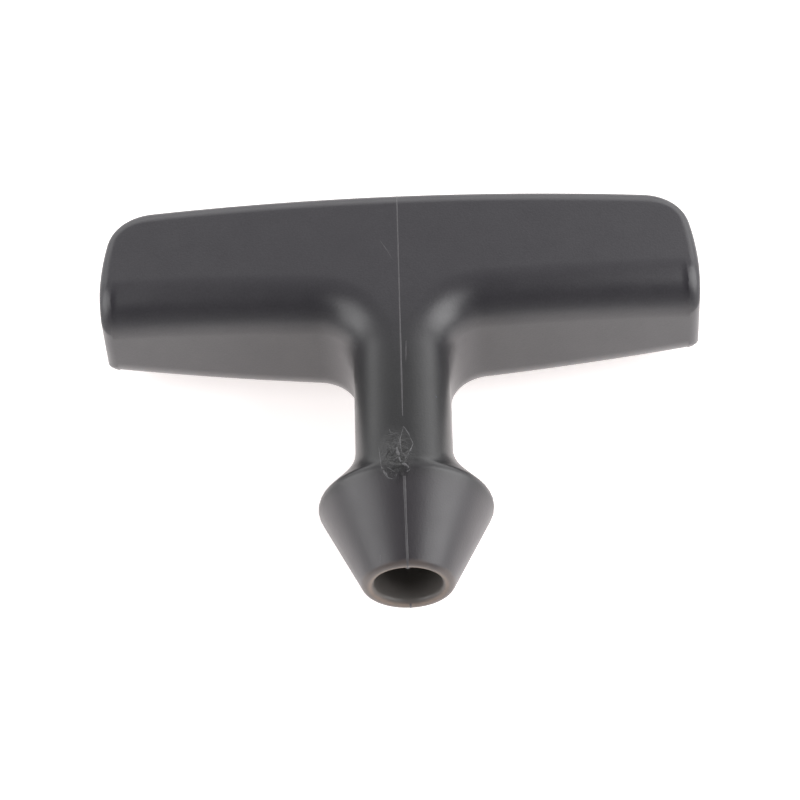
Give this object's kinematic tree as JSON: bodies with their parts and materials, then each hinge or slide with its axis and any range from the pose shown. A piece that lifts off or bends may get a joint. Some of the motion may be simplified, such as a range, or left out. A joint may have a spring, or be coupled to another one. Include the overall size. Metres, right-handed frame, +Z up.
{
  "type": "starter handle",
  "caption": "Moulded plastic T-shaped pull-start handle with a crowned grip, a rounded stem, a conical nose, a rope hole and a knot pocket.",
  "frame": {"origin": "below the middle of the handle, on the plane that the handle lies on", "axes": "+X along the grip, +Y from the nose towards the back of the grip, +Z up from the face that the handle lies on"},
  "size_m": [0.09, 0.0618, 0.026],
  "materials": {
    "moulded_nylon": "moulded, fine matte texture"
  },
  "bodies": {
    "root": {"starter_handle": "moulded_nylon"}
  },
  "joints": []
}
